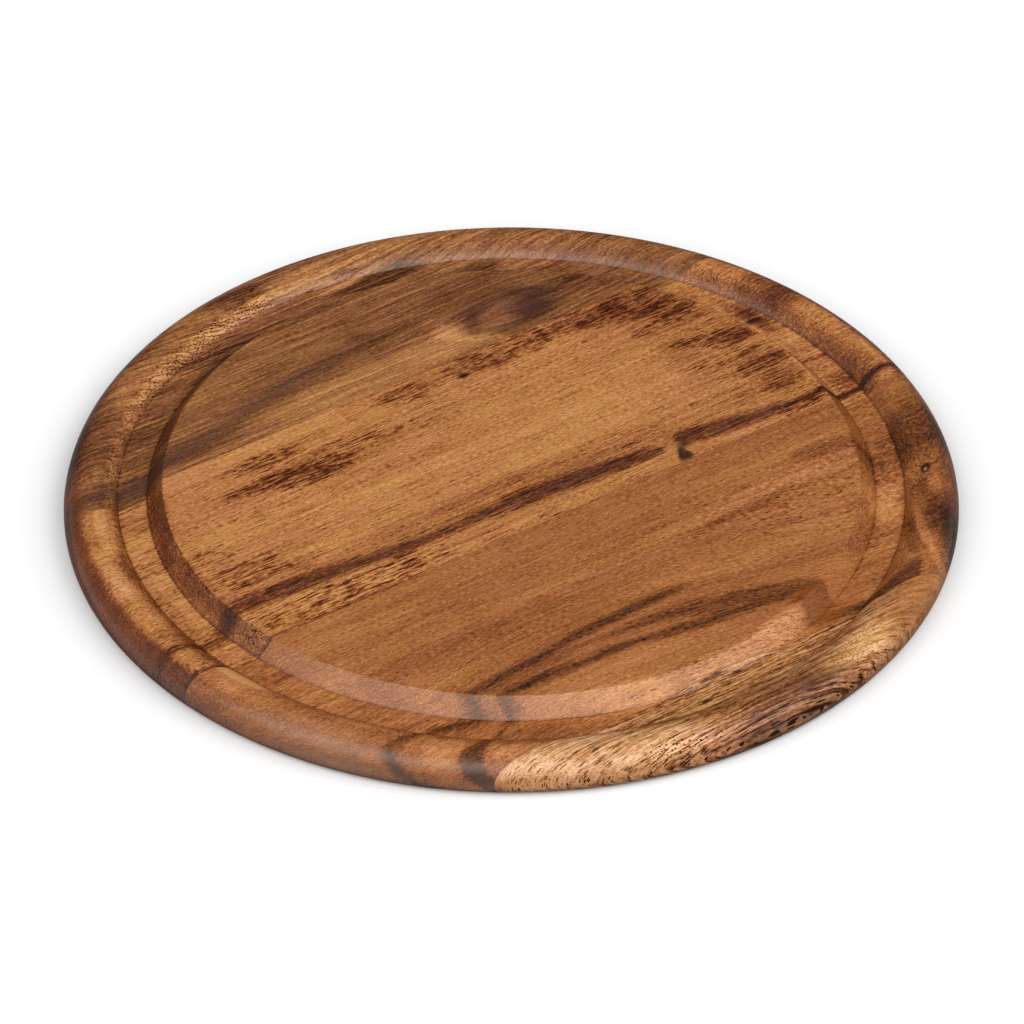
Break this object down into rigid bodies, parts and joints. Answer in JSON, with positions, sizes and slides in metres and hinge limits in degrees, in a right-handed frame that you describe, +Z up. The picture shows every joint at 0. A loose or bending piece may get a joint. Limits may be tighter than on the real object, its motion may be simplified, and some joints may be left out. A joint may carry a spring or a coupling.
{
  "type": "pizza serving board",
  "caption": "Round wooden pizza serving board: edge-glued acacia staves turned with a raised serving face, a crumb groove round it and a rounded rim bead.",
  "frame": {"origin": "middle of the underside, where the board rests", "axes": "+Z up out of the serving face, +X along the wood grain and the glue lines, +Y across the staves towards the widest dark stave at the back"},
  "size_m": [0.33, 0.33, 0.017],
  "materials": {
    "dark_acacia": "satin oiled",
    "pale_acacia": "satin oiled",
    "brown_acacia": "satin oiled",
    "figured_acacia": "satin oiled",
    "wood_glue": "cured, flush with the wood"
  },
  "bodies": {
    "root": {"back_stave": "dark_acacia", "middle_back_stave": "pale_acacia", "middle_front_stave": "brown_acacia", "front_stave": "figured_acacia", "back_glue_line": "wood_glue", "middle_glue_line": "wood_glue", "front_glue_line": "wood_glue"}
  },
  "joints": []
}
